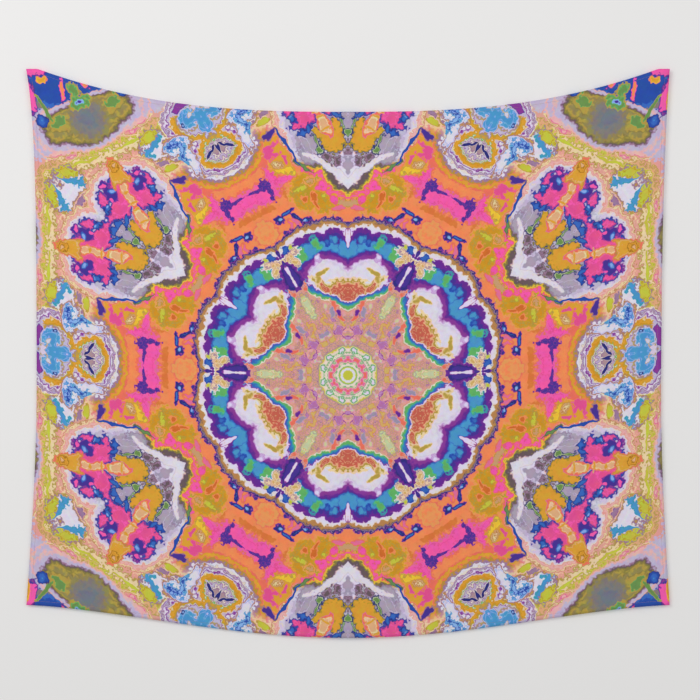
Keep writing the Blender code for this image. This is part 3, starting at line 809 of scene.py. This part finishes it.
def hung_layer(u_lines, v_lines, front, thickness):
    """A sheet of cloth on the hang, as a bmesh with its thickness behind its front.

    Two vertex values, `across` and `down`, keep each point's place on the sheet.
    """
    columns, rows = len(u_lines) - 1, len(v_lines) - 1
    form = bmesh.new()
    bmesh.ops.create_grid(form, x_segments=columns, y_segments=rows, size=0.5)
    across = form.verts.layers.float.new("across")
    down = form.verts.layers.float.new("down")
    for vertex in form.verts:
        u = u_lines[round((vertex.co.x + 0.5) * columns)]
        v = v_lines[round((0.5 - vertex.co.y) * rows)]
        vertex[across], vertex[down] = u, v
        vertex.co = hang(u, v, front)
    fronts = form.faces[:]
    form.normal_update()
    if fronts[0].normal.y > 0:
        bmesh.ops.reverse_faces(form, faces=fronts)
    bmesh.ops.solidify(form, geom=fronts, thickness=thickness)
    bmesh.ops.recalc_face_normals(form, faces=form.faces)
    return form


def lay_uvs(form, bake_front, bake_back, bake_rim, turned=(None, None)):
    """Give every face corner its place on the design and its place in the bake.

    A turned hem carries the design on past the fold, so its places are mirrored in it.
    """
    across, down = form.verts.layers.float["across"], form.verts.layers.float["down"]
    design = form.loops.layers.uv.new("print")
    bake = form.loops.layers.uv.new("OFBake")
    us, vs = [v[across] for v in form.verts], [v[down] for v in form.verts]
    low_u, low_v = min(us), min(vs)
    wide, tall = max(us) - low_u, max(vs) - low_v
    fold_u, fold_v = turned
    form.normal_update()
    for face in form.faces:
        if face.normal.y < -0.7:
            left, bottom, right, top = bake_front
        elif face.normal.y > 0.7:
            left, bottom, right, top = bake_back
        else:
            left, bottom, right, top = bake_rim
        for loop in face.loops:
            u, v = loop.vert[across], loop.vert[down]
            laid_u = u if fold_u is None else 2 * fold_u - u
            laid_v = v if fold_v is None else 2 * fold_v - v
            loop[design].uv = design_place(hang(laid_u, laid_v, 0.0))
            loop[bake].uv = (left + (right - left) * (u - low_u) / wide,
                             bottom + (top - bottom) * (1.0 - (v - low_v) / tall))


def finish_mesh(name, form, *materials):
    mesh = bpy.data.meshes.new(name)
    form.to_mesh(mesh)
    form.free()
    for material in materials:
        mesh.materials.append(material)
    mesh.shade_smooth()
    return mesh


form = hung_layer(spread(-1.0, 1.0, 190), spread(0.0, 1.0, 150), panel_front, cloth_thickness)
for face in form.faces:
    face.material_index = 1 if face.normal.y > 0.7 else 0
lay_uvs(form, (0.004, 0.30, 0.996, 0.996), (0.004, 0.004, 0.38, 0.27), (0.40, 0.004, 0.996, 0.27))
panel = link_piece("cloth", finish_mesh("cloth", form, cloth_front, cloth_reverse),
                   "cloth", "printed_cloth", "cloth_panel")

# %% [markdown]
# ## Hems
#
# Each edge is turned back twice, 12 mm wide, so from behind a hem is a flat roll that shows
# the printed side and goes on with the design past the fold.  A strip of the same hang gets
# softly bevelled rims, and small random dips where the needle drew the roll down.

# %% Make the hems
def uneven(seed):
    """A repeatable value between -1 and 1."""
    return math.sin(seed * 12.9898 + 4.1414) * math.cos(seed * 7.233)


def soft_rims(form, offset):
    """Bevel the edges where the faces of a strip turn sharply."""
    sharp = [e for e in form.edges if len(e.link_faces) == 2 and e.calc_face_angle() > 1.0]
    bmesh.ops.bevel(form, geom=sharp, offset=offset, offset_type="OFFSET", segments=2,
                    profile=0.5, affect="EDGES", material=-1)


def make_hem(name, u_lines, v_lines, turned):
    form = hung_layer(u_lines, v_lines, hem_front, hem_thickness)
    across, down = form.verts.layers.float["across"], form.verts.layers.float["down"]
    for vertex in form.verts:
        u, v = vertex[across], vertex[down]
        if vertex.co.y > hang(u, v, hem_front - hem_thickness / 2).y:
            run = u * half_span if turned[0] is None else v * side_height
            dip = 0.00012 * (1.0 + uneven(round(run / 0.0045)))
            vertex.co.y -= dip
    soft_rims(form, 0.00032)
    lay_uvs(form, (0.004, 0.02, 0.996, 0.32), (0.004, 0.35, 0.996, 0.65),
            (0.004, 0.68, 0.996, 0.98), turned)
    return link_piece(name + "_turned", finish_mesh(name, form, cloth_front), "cloth",
                      "printed_cloth", name)


gap_v = clearance / side_height
between_hems = spread(hem_v + gap_v, 1.0 - hem_v - gap_v, 270)
hems = [
    make_hem("top_hem", spread(-1.0, 1.0, 330), spread(0.0, hem_v, 4), (None, 0.0)),
    make_hem("bottom_hem", spread(-1.0, 1.0, 330), spread(1.0 - hem_v, 1.0, 4), (None, 1.0)),
    make_hem("left_hem", spread(-1.0, -1.0 + hem_u, 4), between_hems, (-1.0, None)),
    make_hem("right_hem", spread(1.0 - hem_u, 1.0, 4), between_hems, (1.0, None)),
]

# %% [markdown]
# ## Sewing
#
# A lockstitch shows as a row of short raised dashes on both faces: here 3 mm apart, a line
# of needle thread in front, dyed near the print, and pale bobbin thread behind.  There are
# thousands, so one dash is a stretched ball of twenty faces, laid along the seam.
# Spun polyester thread is dull and slightly hairy, so it is rough, with a fine grain.


# %% Thread and cord materials
def fibre_material(name, colour, grain, roughness, sheen):
    """A spun or woven fibre: the grain as relief, and colour that follows it, darker where the
    grain lies low: the grain's own tone with painted shade in its hollows.
    """
    material, tree = start_material(name)
    place = add_node(tree, "ShaderNodeTexCoord")
    fibres = add_node(tree, "ShaderNodeTexNoise", {"Vector": place.outputs["Object"],
                                                   "Scale": 1 / grain, "Detail": 3.0})
    # Painted shade: the colour is darker where the grain's relief is low and brighter where it is
    # high.
    shade = add_node(tree, "ShaderNodeMapRange", {"Value": fibres.outputs["Fac"],
                                                  "To Min": 0.82, "To Max": 1.06})
    tone = add_node(tree, "ShaderNodeVectorMath", {0: to_linear(colour)[:3],
                                                   "Scale": shade.outputs[0]}, operation="SCALE")
    relief = add_node(tree, "ShaderNodeBump", {"Height": fibres.outputs["Fac"], "Strength": 0.4,
                                               "Distance": grain / 4})
    end_material(tree, {"Base Color": tone.outputs[0], "Roughness": roughness,
                        "Sheen Weight": sheen, "Normal": relief.outputs[0]})
    return material


bobbin_thread = fibre_material("spun_polyester_bobbin_thread", "#E6DFD6", 0.0003, 0.75, 0.1)
needle_thread = fibre_material("spun_polyester_needle_thread", "#B4907C", 0.0003, 0.75, 0.1)
twisted_cord = fibre_material("twisted_polyester_cord", "#ECE7DF", 0.0004, 0.7, 0.15)


# %% Make the seams
stitch_pitch = 0.0030
stitch_radius = 0.00028


def add_stitch(form, start, end, radius, material_index, fineness=1):
    """One dash of thread between two points."""
    run = end - start
    turn = run.to_track_quat("X", "Z").to_matrix().to_4x4()
    size = Matrix.Diagonal((run.length / 2, radius, radius, 1.0))
    made = bmesh.ops.create_icosphere(form, subdivisions=fineness, radius=1.0,
                                      matrix=Matrix.Translation((start + end) / 2) @ turn @ size)
    for face in {f for v in made["verts"] for f in v.link_faces}:
        face.material_index = material_index


def make_seam(name, place_at, length):
    """Dashes along a line of the hang: place_at(share, depth) gives its points."""
    form = bmesh.new()
    count = round(length / stitch_pitch)
    behind = hem_back - clearance - stitch_radius
    front = panel_front + stitch_radius * 0.35
    for i in range(count):
        first, last = (i + 0.08) / count, (i + 0.92) / count
        add_stitch(form, place_at(first, behind), place_at(last, behind), stitch_radius, 0)
        add_stitch(form, place_at(first, front), place_at(last, front), stitch_radius, 1)
    return link_piece(name + "_stitches", finish_mesh(name, form, bobbin_thread, needle_thread),
                      "cloth", "sewing_thread", name)


seam_u = (hem_width - 0.0020) / half_span
seam_v = (hem_width - 0.0020) / side_height
end_u, end_v = 0.0030 / half_span, hem_v + 0.0030 / side_height
seams = [
    make_seam("top_hem_seam", lambda s, d: hang((2 * s - 1) * (1 - end_u), seam_v, d), 1.52),
    make_seam("bottom_hem_seam", lambda s, d: hang((2 * s - 1) * (1 - end_u), 1 - seam_v, d), 1.52),
    make_seam("left_hem_seam",
              lambda s, d: hang(-1 + seam_u, end_v + s * (1 - 2 * end_v), d), 1.22),
    make_seam("right_hem_seam",
              lambda s, d: hang(1 - seam_u, end_v + s * (1 - 2 * end_v), d), 1.22),
]

# %% [markdown]
# ## Loops and bar tacks
#
# The loops are 1.8 mm cord of three twisted strands.  A twist is a helix about the cord's
# own line, so each strand is a round curve whose points circle that line; as meshes the
# three make one piece.  A bar tack is nine stitches laid side by side beside the cord's end.


# %% Make the loops
def cord_line_point(centre_x, share):
    """The middle of the cord: straight over the hook, bent forward to the hem at its ends."""
    side = -1 if share < 0.5 else 1
    out = abs(2 * share - 1) * loop_half
    bent = smooth_step((loop_half - out) / 0.0055) if out > loop_half - 0.0055 else 1.0
    forward = (stand_off - clearance - cord_radius) * (1.0 - bent)
    return Vector((centre_x + side * out, -cord_depth - forward, 0.0))


def make_loop(name, centre_x):
    curve = bpy.data.curves.new(name, "CURVE")
    curve.dimensions = "3D"
    curve.bevel_depth = 0.00047
    curve.bevel_resolution = 2
    curve.use_fill_caps = True
    points, twist_length, strand_offset = 90, 0.0042, cord_radius - 0.00047
    for strand in range(3):
        spline = curve.splines.new("POLY")
        spline.points.add(points)
        for i, knot in enumerate(spline.points):
            share = i / points
            middle = cord_line_point(centre_x, share)
            turn = 2 * math.pi * (share * 2 * loop_half / twist_length + strand / 3)
            aside = Vector((0.0, math.cos(turn), math.sin(turn))) * strand_offset
            knot.co = (*(middle + aside), 1.0)
    tube = bpy.data.objects.new(name + "_curve", curve)
    mesh = bpy.data.meshes.new_from_object(tube)
    bpy.data.objects.remove(tube)
    mesh.materials.clear()
    mesh.materials.append(twisted_cord)
    mesh.shade_smooth()
    return link_piece(name + "_cord", mesh, "hanging_loops", "loop_cord", name)


loops = [make_loop("left_hanging_loop", -hook_x), make_loop("right_hanging_loop", hook_x)]


# %% Make the bar tacks
def make_tack(name, middle_x):
    form = bmesh.new()
    rows, height = 9, 0.0030
    for i in range(rows):
        z = height * ((i + 0.5) / rows - 0.5)
        slant = 0.00012 if i % 2 else -0.00012
        y = -(hem_back - clearance) + 0.00030
        add_stitch(form, Vector((middle_x - tack_width / 2, y, z - slant)),
                   Vector((middle_x + tack_width / 2, y, z + slant)), 0.00026, 0, 2)
    return link_piece(name + "_stitches", finish_mesh(name, form, bobbin_thread), "cloth",
                      "sewing_thread", name)


tacks = [make_tack("left_outer_bar_tack", -hook_x - tack_x),
         make_tack("left_inner_bar_tack", -hook_x + tack_x),
         make_tack("right_outer_bar_tack", hook_x + tack_x),
         make_tack("right_inner_bar_tack", hook_x - tack_x)]

# %% [markdown]
# ## Hooks and foam pads
#
# The hooks are small moulded ABS clips.  Their shape in the model is right but its edges
# are knife sharp, which no moulding has.  A copy is merged into proper faces, so that a
# bevel can round each edge by a quarter of a millimetre and catch the light.
# The pads are closed-cell foam: the model's pads stay, and only get the foam's finish.


# %% Hook and pad materials
material, tree = start_material("moulded_abs")
place = add_node(tree, "ShaderNodeTexCoord")
grain = add_node(tree, "ShaderNodeTexNoise", {"Vector": place.outputs["Object"],
                                              "Scale": 1 / 0.0007, "Detail": 2.0})
haze = add_node(tree, "ShaderNodeMapRange", {"Value": grain.outputs["Fac"],
                                             "To Min": 0.30, "To Max": 0.44})
relief = add_node(tree, "ShaderNodeBump", {"Height": grain.outputs["Fac"], "Strength": 0.12,
                                           "Distance": 0.0001})
end_material(tree, {"Base Color": to_linear("#F1F0EC"), "Roughness": haze.outputs[0],
                    "IOR": 1.54, "Normal": relief.outputs[0]})
hook_plastic = material

material, tree = start_material("closed_cell_foam")
place = add_node(tree, "ShaderNodeTexCoord")
cells = add_node(tree, "ShaderNodeTexVoronoi", {"Vector": place.outputs["Object"],
                                                "Scale": 1 / 0.0006})
shade = add_node(tree, "ShaderNodeMapRange", {"Value": cells.outputs["Distance"],
                                              "To Min": 1.0, "To Max": 0.8})
tone = add_node(tree, "ShaderNodeVectorMath", {0: to_linear("#D9D8D4")[:3],
                                               "Scale": shade.outputs[0]}, operation="SCALE")
relief = add_node(tree, "ShaderNodeBump", {"Height": cells.outputs["Distance"], "Strength": 0.5,
                                           "Distance": 0.0002})
end_material(tree, {"Base Color": tone.outputs[0], "Roughness": 0.9,
                    "Normal": relief.outputs[0]})
pad_foam = material


# %% Round the hooks
def round_hook(name):
    form = bmesh.new()
    form.from_mesh(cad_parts[name].data)
    bmesh.ops.remove_doubles(form, verts=form.verts, dist=0.000002)
    bmesh.ops.dissolve_limit(form, angle_limit=math.radians(2), verts=form.verts, edges=form.edges)
    sharp = [e for e in form.edges if len(e.link_faces) == 2 and e.calc_face_angle() > 0.7]
    bmesh.ops.bevel(form, geom=sharp, offset=0.00022, offset_type="OFFSET", segments=3,
                    profile=0.5, affect="EDGES", clamp_overlap=True, material=-1)
    bmesh.ops.recalc_face_normals(form, faces=form.faces)
    bmesh.ops.triangulate(form, faces=form.faces)
    mesh = finish_mesh(name, form, hook_plastic)
    mesh.set_sharp_from_angle(angle=math.radians(40))
    return link_piece(name + "_moulded", mesh, "wall_hooks", "hook_plastic", name)


for name in ("left_wall_hook", "right_wall_hook"):
    round_hook(name)
for name in ("left_adhesive_pad", "right_adhesive_pad"):
    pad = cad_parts[name]
    pad.data.materials.clear()
    pad.data.materials.append(pad_foam)

# %% [markdown]
# ## Care label
#
# A folded satin ribbon, left blank, tucked beside the left hem near the foot.  It is a
# hung strip like the cloth, but its free end curls away from the sheet, as ribbon does.
# Satin's floats run one way, so its relief is fine lines, its colour carries painted shade between
# them, and its gloss is stronger.

# %% Make the label
material, tree = start_material("polyester_satin")
place = add_node(tree, "ShaderNodeTexCoord")
floats = add_node(tree, "ShaderNodeTexWave", {"Vector": place.outputs["Object"],
                                              "Scale": 2 * math.pi / 20 / 0.0007,
                                              "Distortion": 0.8, "Detail": 1.0},
                  bands_direction="Z")
# Painted shade: the colour is darker between the floats, where their relief is low.
shade = add_node(tree, "ShaderNodeMapRange", {"Value": floats.outputs["Fac"],
                                              "To Min": 0.93, "To Max": 1.0})
tone = add_node(tree, "ShaderNodeVectorMath", {0: to_linear("#F4F2EE")[:3],
                                               "Scale": shade.outputs[0]}, operation="SCALE")
relief = add_node(tree, "ShaderNodeBump", {"Height": floats.outputs["Fac"], "Strength": 0.3,
                                           "Distance": 0.0001})
end_material(tree, {"Base Color": tone.outputs[0], "Roughness": 0.38, "Sheen Weight": 0.2,
                    "Normal": relief.outputs[0]})
label_satin = material

label_length, label_height, label_rise, label_thickness = 0.038, 0.026, 0.150, 0.0005
start_u = -1.0 + hem_u + clearance / half_span
start_v = 1.0 - (label_rise + label_height) / side_height
form = hung_layer(spread(start_u, start_u + label_length / half_span, 24),
                  spread(start_v, 1.0 - label_rise / side_height, 12), hem_front, label_thickness)
across = form.verts.layers.float["across"]
down = form.verts.layers.float["down"]
for vertex in form.verts:
    share = (vertex[across] - start_u) * half_span / label_length
    low = (vertex[down] - start_v) * side_height / label_height
    vertex.co.y += 0.0034 * share ** 2.2 * (0.55 + 0.45 * low)
    vertex.co.z += 0.0012 * share ** 2 * low
soft_rims(form, 0.00015)
label = link_piece("care_label_ribbon", finish_mesh("care_label", form, label_satin), "cloth",
                   "label_satin", "care_label")
